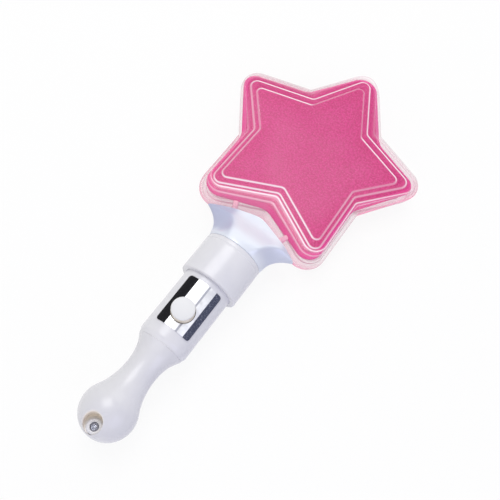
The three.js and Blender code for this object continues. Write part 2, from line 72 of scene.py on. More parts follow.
# Insets of the rim and of the two steps' crests, and the risers' widths and tips
RIM_TRIM = (-0.15, 0.0, -0.2, 0.3, 0.2)
STEP_INSETS = ((1.45, 2.1, 2.95, 3.3, 3.3), (4.6, 4.3, 5.7, 7.1, 6.3))
RISER = np.array((1.2, 1.4, 1.5, 1.3, 1.2))
STEP_TIPS = (3.6, 2.6)
# Pink insert inside the case: its sides' insets, its bevel and levels, and how far it sits off the middle
PINK_INSET = np.array((5.7, 2.2, 2.1, 3.4, 0.6, 1.9, 2.0, 2.1, 2.2, 6.0))
PINK_BEVEL, PINK_LOW, PINK_HIGH = 2.0, 0.12, 2.5
PINK_SHIFT = -0.8

# How strongly painted highlights show along the rim's edge and the two crests, and a riser's painted line from foot
# to crest: painted shade at its foot, a painted highlight at its crest
PAINTED_EDGE_HIGHLIGHT = (1.0, 0.95, 0.95, 0.45, 0.3, 0.3, 0.35, 0.3, 0.4, 1.0)
PAINTED_CREST_HIGHLIGHTS = ((1.0, 0.7, 0.65, 1.0, 0.9), (1.0, 0.65, 0.5, 1.0, 0.45))
PAINTED_RISER_LINE = (-0.35, 0.0, 0.8, 1.0, 1.0, 0.85, 0.3)
# The rim edge's painted highlight fades down the wall by this many degrees and inwards to this share, and a second
# painted highlight lies lower: its angle, spread and share
EDGE_SPREAD, EDGE_FADE = 9.5, 0.6
PAINTED_SECOND_HIGHLIGHT = (66.0, 2.6, 0.8)
# How hazy the case's sides are up the wall and at the seam, a haze that partly paints the light seen through the
# walls, and how strong a painted pink glow is in that haze
WALL_HAZE_AND_GLOW = (0.12, 0.04, 0.2, 0.1, 0.03, 0.05, 0.2, 0.05, 0.1, 0.2)
SEAM_HAZE_AND_GLOW = (0.68, 0.2, 0.6, 0.15, 0.12, 0.24, 0.3, 0.24, 0.62, 0.66)
PAINTED_PINK_GLOW = (0.9, 0.1, 1.0, 0.0, 0.0, 0.0, 0.0, 0.0, 0.3, 0.6)
# The seam's haze starts at this strength and loses one in this many degrees, and the wall's ends at this angle
SEAM_START, SEAM_FADE, HAZE_TOP = 1.3, 32, 80

# Neck: how far its flat front reaches and how deep the painted shade on its cheeks is, left and right, how sharp its
# creases are and over what run they form, where its blunt sides lie, and what share of its spread is even
NECK_BASE, NECK_SPREAD, NECK_RADIUS = -66.0, 13.5, 14.4
NECK_TOP_WIDTH, NECK_TOP_DEPTH = 27.0, 3.0
NECK_FRONT, NECK_CHEEK_SHADE = (0.4, 0.6), (1.0, 0.5)
NECK_CREASE, NECK_CREASE_RUN, NECK_SIDE, NECK_STRAIGHT = 26.0, 6.0, 0.97, 0.4
NECK_VAULT = ((2.0, -60.0), (9.0, -63.0), (10.65, -65.0))
NECK_SPIGOT, NECK_BORE, NECK_SPIGOT_END = 12.05, 10.65, -75.7
NOTCH_Y = GIRDLE[5][1]
LEG_SLOPE = (GIRDLE[4][1] - NOTCH_Y) / GIRDLE[4][0]
FIT = 0.3

# Collar and barrel
COLLAR_RADIUS, COLLAR_EDGE, COLLAR_BORE, COLLAR_GAP = 14.6, 0.8, 12.1, 0.03
GROOVE_Y, GROOVE_DEPTH, GROOVE_FLOOR, GROOVE_REACH = -68.4, 0.16, 0.12, 0.5
BARREL_RADIUS, BARREL_BORE, BARREL_TOP = 12.05, 10.65, -76.0
BARREL_SHOULDER, BARREL_END, SHOULDER_RADIUS = -118.4, -120.38, 11.2

# Label, with its bands' borders in degrees, and button, which leaves the label at its sill
LABEL_LOW, LABEL_HIGH, LABEL_ANGLES, LABEL_CORNER = -113.2, -88.7, (-39.0, 48.5), 1.4
LABEL_BLACK, LABEL_RULE, LABEL_SLATE, LABEL_BLUR = -15.0, 13.7, 31.6, 0.3
LABEL_UNDER, LABEL_OVER = 12.15, 12.4
BUTTON_Y, BUTTON_RADIUS, BUTTON_TOP, BUTTON_FLOOR = -104.3, 5.3, 16.3, 9.25
BUTTON_EDGE, BUTTON_DOME, BUTTON_MIDDLE, BUTTON_SILL = 0.6, 0.25, 0.4, 12.5
BUTTON_HOLE = 5.6

# Grip, its ball and the screw
GRIP_TOP, SPIGOT_TOP, SPIGOT_RADIUS, SPIGOT_BORE = -120.6, -114.6, 10.35, 8.95
WAIST = ((-146.0, 9.75), (-143.0, 8.7), (-139.0, 7.8), (-134.0, 7.4), (-129.0, 7.75), (-125.0, 8.8))
WAIST_TOP_SLOPE = 0.62
BALL_Y, BALL_RADIUS, BALL_JOIN = -155.0, 12.75, 0.44
GRIP_WALL = 1.6
# Lower end of the ball's hollow: radius and station from the ball's centre, and the highest level there
HOLLOW_END, HOLLOW_TOP = ((8.0, -6.0), (4.0, -9.0), (0.5, -10.0)), 0.4
SCREW_Y = BALL_Y - 8.3
RECESS_RADIUS, RECESS_FLOOR, RECESS_OFF, RECESS_TURN = 4.3, 3.5, (-0.8, 0.5), 0.8
LIP_LEAST, LIP_MORE, LIP_DEPTH = 0.16, 0.9, 1.2
RING_RADIUS, RING_HEIGHT, RING_CREST = 3.3, 1.2, 0.08
SCREW_HOLE, SCREW_SEAT, SCREW_HOLE_END = 1.5, 1.95, 1.0
SCREW_HEAD, SCREW_TOP, SCREW_UNDER, SCREW_DOME = 1.75, 4.7, 3.1, 0.6
SCREW_SHANK, SCREW_POINT, SCREW_END = 1.25, (0.6, -4.4), -5.6
CROSS_WIDTH, CROSS_LENGTH, CROSS_DEPTH = 0.27, 1.2, 0.8


class Sock:
    """A shader socket: operators on values add Math nodes, and node() adds any other node beside it."""

    def __init__(self, socket):
        self.socket = socket

    def node(self, kind, settings=None, inputs=None, out=0):
        """Adds a node of that type with its settings, fills or links its sockets, and gives one output."""
        tree = self.socket.id_data
        made = tree.nodes.new(kind)
        for key, value in (settings or {}).items():
            setattr(made, key, value)
        for key, value in (inputs or {}).items():
            put(made.inputs[key], value)
        return Sock(made.outputs[out])

    def math(self, operation, *values, clamp=False):
        numbered = dict(enumerate((self, *values)))
        return self.node("ShaderNodeMath", {"operation": operation, "use_clamp": clamp}, numbered)

    def __add__(self, other):
        return self.math("ADD", other)

    def __radd__(self, other):
        return self.math("ADD", other)

    def __sub__(self, other):
        return self.math("SUBTRACT", other)

    def __rsub__(self, other):
        return (self * -1.0) + other

    def __mul__(self, other):
        return self.math("MULTIPLY", other)

    def __rmul__(self, other):
        return self.math("MULTIPLY", other)

    def step(self, low, high):
        """0 below low and 1 above high, smooth between."""
        settings = {"interpolation_type": "SMOOTHSTEP"}
        inputs = {"Value": self, "From Min": low, "From Max": high, "To Min": 0.0, "To Max": 1.0}
        return self.node("ShaderNodeMapRange", settings, inputs)

    def between(self, low, high):
        """A colour from low to high by this value."""
        inputs = {"Factor": self, 6: low, 7: high}
        return self.node("ShaderNodeMix", {"data_type": "RGBA"}, inputs, out=2)

    def noise(self, scale, detail=2.0, roughness=0.5):
        inputs = {"Vector": self, "Scale": scale, "Detail": detail, "Roughness": roughness}
        return self.node("ShaderNodeTexNoise", None, inputs)

    def stored(self, name):
        """A value that the mesh keeps on its points."""
        return self.node("ShaderNodeAttribute", {"attribute_name": name}, out="Fac")

    def parts(self):
        """The X, Y and Z of a vector."""
        split = self.node("ShaderNodeSeparateXYZ", None, {0: self}).socket.node
        return [Sock(out) for out in split.outputs]

    def bump(self, strength, distance):
        inputs = {"Height": self, "Strength": strength, "Distance": distance}
        return self.node("ShaderNodeBump", None, inputs)


def put(socket, value):
    """Links a socket to a Sock, or sets its own value."""
    if isinstance(value, Sock):
        socket.id_data.links.new(value.socket, socket)
    else:
        socket.default_value = value


def rgb(red, green, blue):
    """A colour written in screen values of 0 to 255, as the shader's linear colour."""
    screen = np.array([red, green, blue]) / 255
    linear = np.where(screen <= 0.04045, screen / 12.92, ((screen + 0.055) / 1.055) ** 2.4)
    return (*linear.tolist(), 1.0)


def finish(name, colour, roughness, **constants):
    """A Principled material with its constants set, and its Object coordinates to build on."""
    made = bpy.data.materials.new(name)
    made.use_nodes = True
    shader = made.node_tree.nodes["Principled BSDF"]
    put(shader.inputs["Base Color"], colour)
    put(shader.inputs["Roughness"], roughness)
    for key, value in constants.items():
        put(shader.inputs[key.replace("_", " ")], value)
    place = made.node_tree.nodes.new("ShaderNodeTexCoord")
    return made, shader, Sock(place.outputs["Object"])


def moulded(name, colour, shade, roughness, **constants):
    """Moulded plastic: a faint cloudy tint, uneven gloss and the mould's fine grain."""
    made, shader, place = finish(name, colour, roughness, **constants)
    cloud = place.noise(60.0, 3.0)
    put(shader.inputs["Base Color"], cloud.step(0.35, 0.75).between(colour, shade))
    put(shader.inputs["Roughness"], cloud * 0.08 + (roughness - 0.04))
    put(shader.inputs["Normal"], place.noise(900.0, 2.0).bump(0.05, 0.0002))
    return made


def metal(name, colour, roughness):
    """Bright metal with a fine grain in its colour and gloss."""
    made, shader, place = finish(name, colour, roughness, Metallic=1.0)
    grain = place.noise(1200.0, 2.0)
    put(shader.inputs["Roughness"], grain * 0.18 + (roughness - 0.06))
    deeper = (*(0.86 * channel for channel in colour[:3]), 1.0)
    put(shader.inputs["Base Color"], grain.step(0.3, 0.7).between(colour, deeper))
    return made


def base_colour(made):
    """A material's Base Color socket and the colour that feeds it."""
    socket = made.node_tree.nodes["Principled BSDF"].inputs["Base Color"]
    return socket, Sock(socket.links[0].from_socket)


def mesh_piece(name, points, faces, body, slot, material, replaced, sharp=40.0, attributes=None):
    """Puts points (mm, wand frame) and faces into one mesh that rides on a body and stands for a CAD node.
    Attributes are grids of values for the first points, and the rest get 0. Faces whose joined volume comes
    out negative are turned round, so that they point outwards."""
    mesh = bpy.data.meshes.new(name)
    mesh.from_pydata(((points + HOME) * MM).tolist(), [], faces)
    for key, grid in (attributes or {}).items():
        values = np.zeros(len(points), dtype=np.float32)
        values[:grid.size] = grid.ravel()
        mesh.attributes.new(key, "FLOAT", "POINT").data.foreach_set("value", values)
    mesh.validate()
    mesh.update()
    mesh.calc_loop_triangles()
    corners = np.empty(len(mesh.loop_triangles) * 3, dtype=np.int32)
    mesh.loop_triangles.foreach_get("vertices", corners)
    a, b, c = (points[corners[k::3]] for k in range(3))
    if np.einsum("ij,ij->", a, np.cross(b, c)) < 0:
        mesh.flip_normals()
    mesh.polygons.foreach_set("use_smooth", np.ones(len(mesh.polygons), dtype=bool))
    mesh.set_sharp_from_angle(angle=math.radians(sharp))
    mesh.materials.append(material)
    piece = bpy.data.objects.new(name, mesh)
    scene.collection.objects.link(piece)
    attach(piece, body)
    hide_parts(replaced)


def stacked(rings, loop=False):
    """Rings of equal length, one above the other, as points and quads round the rings. The last ring joins the
    first in a loop; otherwise each end is closed with triangles to the middle of its ring."""
    rings = np.asarray(rings, dtype=float)
    rows, columns = rings.shape[:2]
    index = np.arange(rows * columns).reshape(rows, columns)
    if loop:
        index = np.vstack([index, index[:1]])
    turned = np.roll(index, -1, axis=1)
    quads = np.stack([index[:-1], turned[:-1], turned[1:], index[1:]], axis=-1).reshape(-1, 4)
    points = rings.reshape(-1, 3)
    faces = quads.tolist()
    if not loop:
        points = np.vstack([points, rings[0].mean(axis=0), rings[-1].mean(axis=0)])
        first, last = rows * columns, rows * columns + 1
        ends = np.arange(columns)
        nexts = np.roll(ends, -1)
        faces += np.stack([nexts, ends, np.full(columns, first)], axis=-1).tolist()
        base = (rows - 1) * columns
        faces += np.stack([base + ends, base + nexts, np.full(columns, last)], axis=-1).tolist()
    return points, faces


def turn(profile, columns=128):
    """A profile of (radius, station) rows turned once about the wand's axis: x = r sin a, z = r cos a."""
    profile = np.asarray(profile, dtype=float)
    angle = np.linspace(0, 2 * np.pi, columns, endpoint=False)
    radius, station = profile[:, :1], profile[:, 1:]
    return np.stack([radius * np.sin(angle), station + 0 * angle, radius * np.cos(angle)], axis=-1)


def rounded_profile(corners, radii, steps=6):
    """A closed polygon of profile corners with each corner replaced by a quadratic curve of that reach."""
    corners = np.asarray(corners, dtype=float)
    before = np.roll(corners, 1, axis=0) - corners
    after = np.roll(corners, -1, axis=0) - corners
    reach = np.asarray(radii, dtype=float)[:, None]
    start = corners + before / np.linalg.norm(before, axis=1, keepdims=True) * reach
    end = corners + after / np.linalg.norm(after, axis=1, keepdims=True) * reach
    t = np.linspace(0, 1, steps)[None, :, None]
    curve = (1 - t) ** 2 * start[:, None] + 2 * t * (1 - t) * corners[:, None] + t ** 2 * end[:, None]
    return curve.reshape(-1, 2)


def star_loop(half):
    """All ten corners, anticlockwise from the neck's notch, from the right half."""
    right = np.array(half, dtype=float)
    return np.vstack([right[::-1], right[1:-1] * (-1, 1)])


def star_inset(corners, distance):
    """Corners moved so that each side lies its own distance further in: the point p with p . n = d for both
    the side before and the side after. One distance is for all sides, five are the right half's sides, from the
    neck, and ten are all sides."""
    distance = np.atleast_1d(np.asarray(distance, dtype=float))
    if len(distance) == 5:
        distance = np.concatenate([distance, distance[::-1]])
    after = distance * np.ones(len(corners))
    along = np.roll(corners, -1, axis=0) - corners
    along /= np.linalg.norm(along, axis=1, keepdims=True)
    normal = np.stack([-along[:, 1], along[:, 0]], axis=-1)
    earlier, before = np.roll(normal, 1, axis=0), np.roll(after, 1)
    size = earlier[:, 0] * normal[:, 1] - earlier[:, 1] * normal[:, 0]
    shift = np.stack([
        before * normal[:, 1] - after * earlier[:, 1],
        after * earlier[:, 0] - before * normal[:, 0],
    ], axis=-1)
    return corners + shift / size[:, None]


def star_outline(corners, tip, notch):
    """Each corner becomes an arc that touches both its sides (the tips turn left, the notches right), with
    evenly spread points along the straight side to the next corner."""
    to_before = np.roll(corners, 1, axis=0) - corners
    to_after = np.roll(corners, -1, axis=0) - corners
    to_before /= np.linalg.norm(to_before, axis=1, keepdims=True)
    to_after /= np.linalg.norm(to_after, axis=1, keepdims=True)
    is_tip = to_before[:, 0] * to_after[:, 1] - to_before[:, 1] * to_after[:, 0] < 0
    radius = np.where(is_tip, tip, notch)
    half = np.arccos(np.clip(np.sum(to_before * to_after, axis=1), -1, 1)) / 2
    bisector = to_before + to_after
    bisector /= np.linalg.norm(bisector, axis=1, keepdims=True)
    centre = corners + bisector * (radius / np.sin(half))[:, None]
    start = corners + to_before * (radius / np.tan(half))[:, None] - centre
    sweep = (np.pi - 2 * half) * np.where(is_tip, 1, -1)
    angle = sweep[:, None] * np.linspace(0, 1, ARC)
    arcs = np.stack([
        start[:, :1] * np.cos(angle) - start[:, 1:] * np.sin(angle),
        start[:, :1] * np.sin(angle) + start[:, 1:] * np.cos(angle),
    ], axis=-1) + centre[:, None]
    share = np.linspace(0, 1, SIDE + 1)[1:-1][None, :, None]
    sides = arcs[:, -1:] * (1 - share) + np.roll(arcs, -1, axis=0)[:, :1] * share
    return np.concatenate([arcs, sides], axis=1).reshape(-1, 2)


GIRDLE_LOOP, RIM_LOOP = star_loop(GIRDLE), star_inset(star_loop(RIM), RIM_TRIM)


def wall_rings(inset, drop, low=0.0, count=36):
    """Rings of the case's side: from the girdle to the rim on a power curve, (1 - in)^p + up^p = 1, moved in and
    down by the given amounts. low is the share of the height where the first ring lies."""
    girdle = star_outline(star_inset(GIRDLE_LOOP, inset), GIRDLE_TIP - inset, NOTCH + inset)
    rim = star_outline(star_inset(RIM_LOOP, inset), RIM_TIP - inset / 2, NOTCH + inset)
    first = math.asin(low ** (WALL_POWER / 2))
    angle = np.linspace(first, np.pi / 2, count)
    up = np.sin(angle) ** (2 / WALL_POWER)
    inwards = 1 - np.cos(angle) ** (2 / WALL_POWER)
    flat = girdle[None] * (1 - inwards)[:, None, None] + rim[None] * inwards[:, None, None]
    height = np.broadcast_to((up * (RIM_Z - drop))[:, None, None], (*flat.shape[:2], 1))
    return np.concatenate([flat, height], axis=-1)


def level_ring(inset, height, tip):
    """The rim's outline moved in by inset, laid flat at a height, with that radius at its tips."""
    flat = star_outline(star_inset(RIM_LOOP, inset), tip, NOTCH)
    return np.column_stack([flat, np.full(len(flat), height)])


def girdle_ring(inset, height):
    """The girdle's outline moved in by inset, laid flat at a height."""
    most = float(np.max(inset))
    flat = star_outline(star_inset(GIRDLE_LOOP, inset), GIRDLE_TIP - most / 2, NOTCH + most)
    return np.column_stack([flat, np.full(len(flat), height)])


def along_sides(values):
    """The right half's five values, or all ten, spread over the points of an outline: level along a side, ramped
    round a corner."""
    after = np.concatenate([values, values[::-1]] if len(values) == 5 else [values])[:, None]
    before = np.roll(after, 1, axis=0)
    corner = before + (after - before) * np.linspace(0, 1, ARC)
    return np.concatenate([corner, np.repeat(after, SIDE - 1, axis=1)], axis=1).ravel()


def step_rings():
    """Rings of the two raised steps with each ring's line weight: level runs joined by smooth S-shaped risers,
    z = z0 + rise (3t^2 - 2t^3). A riser carries painted shade along its foot and a painted highlight along its crest."""
    share = np.linspace(0, 1, len(PAINTED_RISER_LINE))
    rise = STEP * share ** 2 * (3 - 2 * share)
    # Painted highlight along the rim's edge
    edge = EDGE_FADE * along_sides(PAINTED_EDGE_HIGHLIGHT)
    plain = np.zeros_like(edge)
    rows = [(inset, RIM_Z, RIM_TIP - inset, line) for inset, line in zip(RIM_LIP, (edge, plain))]
    for k, crest in enumerate(np.array(STEP_INSETS)):
        level = RIM_Z + k * STEP
        tips = STEP_TIPS[k] - RISER.mean() * (share - 0.5)
        lines = np.outer(PAINTED_RISER_LINE, along_sides(PAINTED_CREST_HIGHLIGHTS[k]))
        rows += list(zip(crest + RISER * (share[:, None] - 0.5), level + rise, tips, lines))
        rows += [(crest + RISER / 2 + past, level + STEP, tips[-1] - past, plain) for past in STEP_RUNS]
    return np.array([level_ring(*row[:3]) for row in rows]), np.array([row[3] for row in rows])


def face_rings(ring):
    """A flat ring repeated at smaller scales towards the star's centre."""
    return ring[None] * (np.array(FACE_SCALES)[:, None, None] * (1, 1, 0) + (0, 0, 1))


def case_half(name, side, node):
    """One half of the clear case: side, rim, steps and plateau outside, then a seam flange, a plain side and a
    ceiling. Each point carries a line weight, a painted highlight along the rim's edge and the crests and painted
    shade at the feet, a haze, which is strongest at the seam and partly paints the light seen through the walls, and
    how strong a painted pink glow is there."""
    wall = wall_rings(0, 0)
    turned = np.linspace(0, 90, len(wall))
    second, spread, strength = PAINTED_SECOND_HIGHLIGHT
    # Painted highlights down the wall: one at the rim's edge and a second one lower
    fade = np.exp(-((90 - turned) / EDGE_SPREAD) ** 2) + strength * np.exp(-((turned - second) / spread) ** 2)
    edge = np.outer(fade, along_sides(PAINTED_EDGE_HIGHLIGHT))
    # Haze that partly paints the light seen through the walls, strongest at the seam
    haze = along_sides(WALL_HAZE_AND_GLOW)
    seam = np.outer(np.clip(SEAM_START - turned / SEAM_FADE, 0, 1), along_sides(SEAM_HAZE_AND_GLOW))
    seam = np.maximum(seam, haze * (turned < HAZE_TOP)[:, None])
    steps, step_lines = step_rings()
    outer = np.concatenate([wall, steps, face_rings(steps[-1])])
    blank = np.zeros((len(FACE_SCALES), len(haze)))
    outer_lines = np.concatenate([edge, step_lines, blank])
    outer_haze = np.concatenate([seam, 0 * step_lines, blank])
    flange = np.array([girdle_ring(FLANGE_INSET, height) for height in (SEAM, FLANGE_Z)])
    inner = wall_rings(CASE_WALL, CASE_WALL, FLANGE_Z / (RIM_Z - CASE_WALL))
    inner = np.concatenate([flange, inner, face_rings(inner[-1])])
    rings = np.concatenate([outer[::-1], inner])
    rings[..., 2] = np.maximum(rings[..., 2], SEAM) * side
    inner_haze = np.zeros(inner.shape[:2])
    # The flange's edge, the wall's top and the ceiling stay clear
    inner_haze[1:-2 - len(FACE_SCALES)] = haze
    weights = {
        "line": np.concatenate([outer_lines[::-1], 0 * inner_haze]),
        "haze": np.concatenate([outer_haze[::-1], inner_haze]),
        "blush": np.broadcast_to(along_sides(PAINTED_PINK_GLOW), rings.shape[:2]),
    }
    mesh_piece(name, *stacked(rings), "handle", "clear_case", clear_plastic, node, 60, weights)


def pink_plate(name, side, node):
    """The pink insert: a flat star with bevelled sides and softened edges, widest at the seam. Its bevel carries an
    edge weight for painted light."""
    rows = [
        (0.3, PINK_LOW),
        (0.0, PINK_LOW + 0.15),
        (PINK_BEVEL - 0.25, PINK_HIGH - 0.3),
        (PINK_BEVEL, PINK_HIGH - 0.07),
        (PINK_BEVEL + 0.3, PINK_HIGH),
    ]
    sides = np.array([girdle_ring(PINK_INSET + more, height) for more, height in rows])
    rings = np.concatenate([face_rings(sides[0])[::-1], sides, face_rings(sides[-1])])
    rings = rings * (1, 1, side) + (PINK_SHIFT, 0, 0)
    edge = np.zeros(rings.shape[:2])
    # Painted light on the bevel
    edge[3:6] = 1.0
    mesh_piece(name, *stacked(rings), "handle", "pink_insert", pink_plastic, node, 50, {"edge": edge})


def neck():
    """The neck: at each station a closed section, x = w R cos a and z = d R sin a, that widens and flattens towards
    the star. R goes from a circle to a section with a flat front, slanted cheeks and blunt sides: the smooth least
    of 1/sin, 1/(cos + s sin) and b/cos, with its own s for the left and the right. Each line ends where it meets
    the star's legs, found by halving, and the end is closed there. The cheeks carry a weight for painted blue-grey
    shade."""
    angle = np.linspace(0, 2 * np.pi, 240, endpoint=False)
    cos, sin = np.cos(angle), np.sin(angle)
    across, up = np.abs(cos), np.abs(sin)
    flat = up ** NECK_CREASE
    cheek = (across + (1 - np.where(cos < 0, *NECK_FRONT)) * up) ** NECK_CREASE
    faceted = (flat + cheek + (across / NECK_SIDE) ** NECK_CREASE) ** (-1 / NECK_CREASE)

    def section(y):
        spread = np.clip((y - NECK_BASE) / NECK_SPREAD, 0, 1)
        t = np.clip((y - NECK_BASE) / (NOTCH_Y - NECK_BASE), 0, 1)
        flatten = t * t * (3 - 2 * t)
        widen = NECK_STRAIGHT * spread + (1 - NECK_STRAIGHT) * spread ** 4
        width = NECK_RADIUS + (NECK_TOP_WIDTH - NECK_RADIUS) * widen
        depth = NECK_RADIUS + (NECK_TOP_DEPTH - NECK_RADIUS) * flatten
        creased = np.clip((y - NECK_BASE) / NECK_CREASE_RUN, 0, 1)
        reach = 1 + (faceted - 1) * creased * creased * (3 - 2 * creased)
        return width * reach * cos, depth * reach * sin

    def legs(x):
        return NOTCH_Y - FIT + LEG_SLOPE * (np.sqrt(x * x + NOTCH ** 2) - NOTCH)

    top, high = np.full(angle.shape, NECK_BASE + 1.0), np.full(angle.shape, NOTCH_Y)
    for _ in range(40):
        middle = (top + high) / 2
        beyond = middle > legs(section(middle)[0])
        top, high = np.where(beyond, top, middle), np.where(beyond, middle, high)
    y = NECK_BASE + (top - NECK_BASE) * np.linspace(0, 1, 40)[:, None]
    x, z = section(y)
    body = np.stack([x, y, z], axis=-1)
    body[0] = 0.65 * body[0] + 0.35 * body[1]
    closing = np.linspace(1, 0, 8)[1:, None]
    end = np.stack(np.broadcast_arrays(x[-1], top, z[-1] * closing), axis=-1)
    spigot = np.array([
        *NECK_VAULT,
        (NECK_BORE, NECK_SPIGOT_END),
        (NECK_SPIGOT, NECK_SPIGOT_END),
        (NECK_SPIGOT, NECK_BASE),
        (NECK_RADIUS - 0.25, NECK_BASE),
    ])
    foot = np.stack([spigot[:, :1] * cos, spigot[:, 1:] + 0 * cos, spigot[:, :1] * sin], axis=-1)
    rings = np.concatenate([foot, body, end])
    raised = np.clip((rings[..., 1] - NECK_BASE) / NECK_CREASE_RUN, 0, 1)
    # Painted blue-grey shade on the cheeks, deeper on the left
    cheek_shade = (1 - flat / (flat + cheek)) * raised * np.where(cos < 0, *NECK_CHEEK_SHADE)
    mesh_piece("neck", *stacked(rings), "handle", "pearl_neck", pearl_plastic, "neck_flare",
               attributes={"cheek": cheek_shade})


def collar():
    """A sleeve with rounded edges and a fine groove under its top ring, turned about the axis."""
    top = NECK_BASE - COLLAR_GAP
    corners = [
        (COLLAR_BORE, COLLAR_BOTTOM),
        (COLLAR_RADIUS, COLLAR_BOTTOM),
        (COLLAR_RADIUS, GROOVE_Y - GROOVE_REACH),
        (COLLAR_RADIUS - GROOVE_DEPTH, GROOVE_Y - GROOVE_FLOOR),
        (COLLAR_RADIUS - GROOVE_DEPTH, GROOVE_Y + GROOVE_FLOOR),
        (COLLAR_RADIUS, GROOVE_Y + GROOVE_REACH),
        (COLLAR_RADIUS, top),
        (COLLAR_BORE, top),
    ]
    profile = rounded_profile(corners, [0.2, COLLAR_EDGE, 0.15, 0.1, 0.1, 0.15, 0.6, 0.2])
    rings = turn(profile)
    mesh_piece("collar", *stacked(rings, loop=True), "handle", "white_handle", white_plastic, "collar_ring")


def label():
    """The mirror film: rays from the button's hole to a rounded rectangle, both taken on the unrolled surface and
    bent back, x = r sin a and z = r cos a, as a thin sheet closed along all its edges."""
    share = np.linspace(-1, 1, 60, endpoint=False)
    ones = np.ones_like(share)
    border = np.concatenate([
        np.column_stack([share, -ones]),
        np.column_stack([ones, share]),
        np.column_stack([-share, ones]),
        np.column_stack([-ones, -share]),
    ])
    low, high = np.radians(LABEL_ANGLES) * LABEL_OVER
    half = np.array([high - low, LABEL_HIGH - LABEL_LOW]) / 2
    middle = np.array([high + low, LABEL_HIGH + LABEL_LOW]) / 2
    over = np.abs(border * half) - (half - LABEL_CORNER)
    arc = over / np.linalg.norm(over, axis=1, keepdims=True) * LABEL_CORNER
    bent = np.where(over.min(axis=1, keepdims=True) > 0, arc, over)
    border = middle + np.sign(border) * (half - LABEL_CORNER + bent)
    heading = np.arctan2(border[:, 1] - BUTTON_Y, border[:, 0])
    hole = np.column_stack([
        LABEL_OVER * np.arcsin(BUTTON_HOLE * np.cos(heading) / LABEL_OVER),
        BUTTON_Y + BUTTON_HOLE * np.sin(heading),
    ])
    t = np.linspace(0, 1, 24)[:, None, None]
    across, station = np.moveaxis(hole * (1 - t) + border * t, -1, 0)
    bend = across / LABEL_OVER
    rings = np.stack([LABEL_OVER * np.sin(bend), station, LABEL_OVER * np.cos(bend)], axis=-1)
    under = rings * (LABEL_UNDER / LABEL_OVER, 1, LABEL_UNDER / LABEL_OVER)
    rings = np.concatenate([rings, under[::-1]])
    mesh_piece("label", *stacked(rings, loop=True), "handle", "mirror_film", mirror_film, "chrome_label")


def barrel():
    """The barrel: a tube with a bevelled lower end, as a grid of angle and station outside and inside. Grid points
    round the button are drawn onto its hole: p goes to p (hole m / (s |p|)) at the block's border, where m is the
    larger of |across| and |along| and s is half the block, and less further out."""
    columns, block = 128, 9
    pitch = 2 * np.pi * BARREL_RADIUS / columns
    reach = block * pitch
    near = BUTTON_Y + np.arange(-2 * block, 2 * block + 1) * pitch
    far = np.linspace(near[-1], BARREL_TOP, 24)[1:]
    lower, lower_radius = np.array([
        (BARREL_END, SHOULDER_RADIUS - 0.09),
        (BARREL_END + 0.1, SHOULDER_RADIUS),
        (BARREL_SHOULDER - 0.5, BARREL_RADIUS - 0.27),
        (BARREL_SHOULDER, BARREL_RADIUS - 0.06),
        (BARREL_SHOULDER + 0.5, BARREL_RADIUS),
        (BARREL_SHOULDER + 1.2, BARREL_RADIUS),
    ]).T
    stations = np.concatenate([lower, near[near > lower[-1] + 0.3], far])
    radius = np.interp(stations, lower, lower_radius)
    across = (np.arange(columns) - columns // 2) * pitch
    u, v = np.meshgrid(across, stations - BUTTON_Y)
    most = np.maximum(np.abs(u), np.abs(v))
    length = np.maximum(np.hypot(u, v), 1e-6)
    pull = np.clip((2 * reach - most) / reach, 0, 1)
    scale = 1 + pull * (BUTTON_HOLE * most / (reach * length) - 1)
    inside = most < reach - pitch / 2
    scale = np.where(inside, 1, scale)
    bend = u * scale / BARREL_RADIUS
    y = BUTTON_Y + v * scale
    skins = [np.stack([r * np.sin(bend), y, r * np.cos(bend)], axis=-1) for r in (radius[:, None], BARREL_BORE)]
    rows = len(stations)
    index = np.arange(rows * columns).reshape(rows, columns)
    right = np.roll(index, -1, axis=1)
    quads = np.stack([index[:-1], right[:-1], right[1:], index[1:]], axis=-1)
    corner = inside | (np.abs(most - reach) < pitch / 2)
    both = corner & np.roll(corner, -1, axis=1)
    kept = quads[~(both[:-1] & both[1:])]
    shift = rows * columns

    def wall(edge):
        """Quads from the outer skin's edge to the inner skin's."""
        following = np.roll(edge, -1)
        return np.stack([edge, edge + shift, following + shift, following], axis=-1)

    rim = np.isclose(most, reach, atol=pitch / 4)
    hole = index[rim][np.argsort(np.arctan2(v[rim], u[rim]))]
    walls = [wall(index[0]), wall(index[-1])[:, ::-1], wall(hole)[:, ::-1]]
    faces = np.concatenate([kept, kept[:, ::-1] + shift, *walls])
    points = np.concatenate(skins).reshape(-1, 3)
    used, faces = np.unique(faces, return_inverse=True)
    faces = faces.reshape(-1, 4).tolist()
    mesh_piece("barrel_tube", points[used], faces, "handle", "white_handle", white_plastic, "barrel")


def about_z(profile, y, columns=96):
    """A profile of (radius, level) rows turned about a line along Z at station y."""
    profile = np.asarray(profile, dtype=float)
    angle = np.linspace(0, 2 * np.pi, columns, endpoint=False)
    radius, level = profile[:, :1], profile[:, 1:]
    return np.stack([radius * np.sin(angle), y + radius * np.cos(angle), level + 0 * angle], axis=-1)


def button():
    """The push button: a round cap with a softly rounded edge and a very slightly domed top."""
    flat = BUTTON_RADIUS - BUTTON_EDGE
    angle = np.linspace(0, np.pi / 2, 10)
    rim = np.column_stack([
        flat + BUTTON_EDGE * np.cos(angle),
        BUTTON_TOP - BUTTON_DOME - BUTTON_EDGE + BUTTON_EDGE * np.sin(angle),
    ])
    inner = np.linspace(flat, BUTTON_MIDDLE, 10)[1:]
    dome = np.column_stack([inner, BUTTON_TOP - BUTTON_DOME * (inner / flat) ** 2])
    side = [(BUTTON_MIDDLE, BUTTON_FLOOR), (BUTTON_RADIUS, BUTTON_FLOOR), (BUTTON_RADIUS, BUTTON_SILL)]
    rings = about_z(np.vstack([side, rim, dome]), BUTTON_Y)
    mesh_piece("button_cap", *stacked(rings), "button", "button_white", button_plastic, "power_button")


